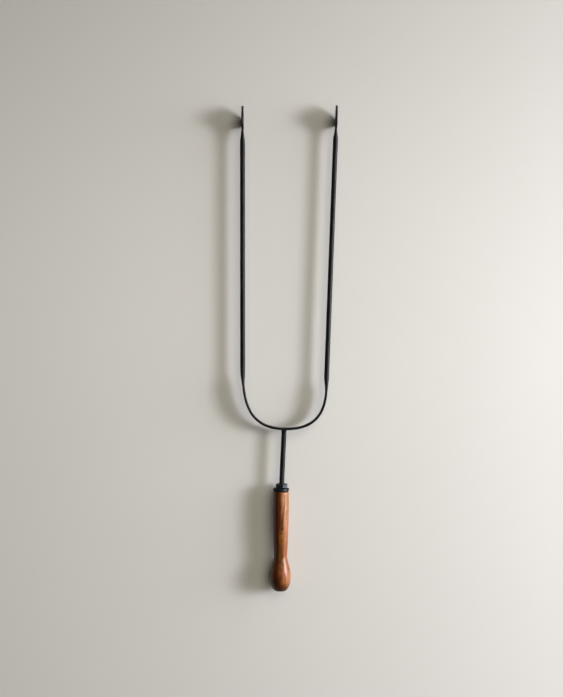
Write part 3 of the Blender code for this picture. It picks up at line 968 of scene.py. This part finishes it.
def build_floor():
    bm = bmesh.new()
    corners = [(-FLOOR_HALF, -FLOOR_HALF), (FLOOR_HALF, -FLOOR_HALF),
               (FLOOR_HALF, FLOOR_HALF), (-FLOOR_HALF, FLOOR_HALF)]
    bm.faces.new([bm.verts.new((x, y, CAD_BOX[0].z)) for x, y in corners])
    mesh = bpy.data.meshes.new("floor")
    bm.to_mesh(mesh)
    bm.free()
    mesh.materials.append(floor_material())
    floor = bpy.data.objects.new("floor", mesh)
    bpy.context.scene.collection.objects.link(floor)


LIGHT_TARGET = Vector((0.0, 0.1, 0.0))
KEY_COLOUR = (0.945, 0.944, 1.0)
FILL_COLOUR = (1.0, 0.938, 0.755)


def add_panel(name, azimuth, elevation, distance, width, height, power, colour, gloss=True):
    """Rectangular soft light aimed at the fork, from azimuth 0 at its right side, in degrees."""
    light = bpy.data.lights.new(name, "AREA")
    light.shape = "RECTANGLE"
    light.size, light.size_y = width, height
    light.energy = power
    light.color = colour
    lamp = bpy.data.objects.new(name, light)
    turn, rise = math.radians(azimuth), math.radians(elevation)
    back = Vector((math.cos(rise) * math.cos(turn), math.cos(rise) * math.sin(turn), math.sin(rise)))
    level = (ALONG - back * ALONG.dot(back)).normalized()
    place = Matrix.Translation(LIGHT_TARGET + back * distance)
    lamp.matrix_world = place @ Matrix((level, back.cross(level), back)).transposed().to_4x4()
    lamp.visible_camera = False
    lamp.visible_glossy = gloss
    bpy.context.scene.collection.objects.link(lamp)


def build_lights():
    """Broad soft daylight low on the right, with wide pale fill from above."""
    add_panel("window_wide", 3, 26, 3.5, 1.1, 1.5, 48.9, KEY_COLOUR)
    add_panel("window_middle", 0, 27, 2.0, 0.8, 0.4, 24.0, KEY_COLOUR)
    add_panel("window_bright", 0, 25, 2.0, 0.35, 0.25, 8.9, KEY_COLOUR)
    add_panel("window_sill", 0, 15, 2.5, 3.0, 1.0, 28.9, KEY_COLOUR)
    add_panel("window_low", 5, 9, 2.5, 1.0, 0.35, 12.2, KEY_COLOUR)
    add_panel("window_far", 40, 15, 3.0, 0.8, 0.8, 14.6, KEY_COLOUR)
    add_panel("ceiling", 0, 90, 2.0, 2.5, 2.5, 2.8, FILL_COLOUR, gloss=False)
    add_panel("wall_far", 50, 55, 2.2, 1.4, 1.4, 17.6, FILL_COLOUR, gloss=False)
    add_panel("wall_near", -50, 55, 2.2, 1.4, 1.4, 6.9, FILL_COLOUR, gloss=False)
    world = bpy.data.worlds.new("room")
    world.use_nodes = True
    background = world.node_tree.nodes["Background"]
    background.inputs["Color"].default_value = (1.0, 0.93, 0.80, 1.0)
    background.inputs["Strength"].default_value = 0.05
    bpy.context.scene.world = world


CAMERA_PLACE = Vector((-1.17, 179.57, 1215.5)) * MM     # from the datum
CAMERA_TURN = 0.0093


def build_camera():
    """Straight above the middle of the fork, turned by half a degree."""
    data = bpy.data.cameras.new("camera")
    data.lens = 50.0
    data.sensor_width = 36.0
    camera = bpy.data.objects.new("camera", data)
    camera.location = DATUM + CAMERA_PLACE
    camera.rotation_euler = (0.0, 0.0, CAMERA_TURN)
    bpy.context.scene.collection.objects.link(camera)
    bpy.context.scene.camera = camera


# ---------------------------------------------------------------- the whole fork

def build_pieces():
    head_iron = iron_material(
        "forged_iron", dark=(0.006, 0.006, 0.007), light=(0.017, 0.017, 0.018),
        rust=(0.024, 0.016, 0.011), roughness=0.44, metallic=0.4, forged_flats=True)
    rod_iron = iron_material(
        "shank_iron", dark=(0.008, 0.008, 0.008), light=(0.020, 0.020, 0.021),
        rust=(0.028, 0.020, 0.014), roughness=0.42, metallic=0.45, grain=0.7)
    nut_iron = iron_material(
        "nut_iron", dark=(0.034, 0.037, 0.046), light=(0.085, 0.092, 0.112),
        rust=(0.050, 0.042, 0.038), roughness=0.33, metallic=0.85, grain=0.6)
    collar_iron = iron_material(
        "collar_iron", dark=(0.016, 0.017, 0.021), light=(0.042, 0.045, 0.055),
        rust=(0.036, 0.028, 0.024), roughness=0.33, metallic=0.75, grain=0.6)
    head = build_head(head_iron)
    cut_tenon_hole(head)
    build_shank(rod_iron)
    build_handle(wood_material())
    build_bolster(collar_iron)
    build_nut("lock_nut_hex", "lock_nut", nut_iron, LOCK_FLATS, LOCK_LOW.y, LOCK_HIGH.y,
              SHANK_R + NUT_PLAY, LOCK_TURN)
    build_washer(collar_iron)
    build_nut("butt_nut_hex", "butt_nut", nut_iron, BUTT_FLATS, NUT_LOW.y, NUT_HIGH.y,
              TANG_END_R + NUT_PLAY, BUTT_TURN)


build_camera()
build_floor()
build_lights()
build_pieces()
bpy.context.scene.view_settings.view_transform = "Standard"

bpy.context.view_layer.update()
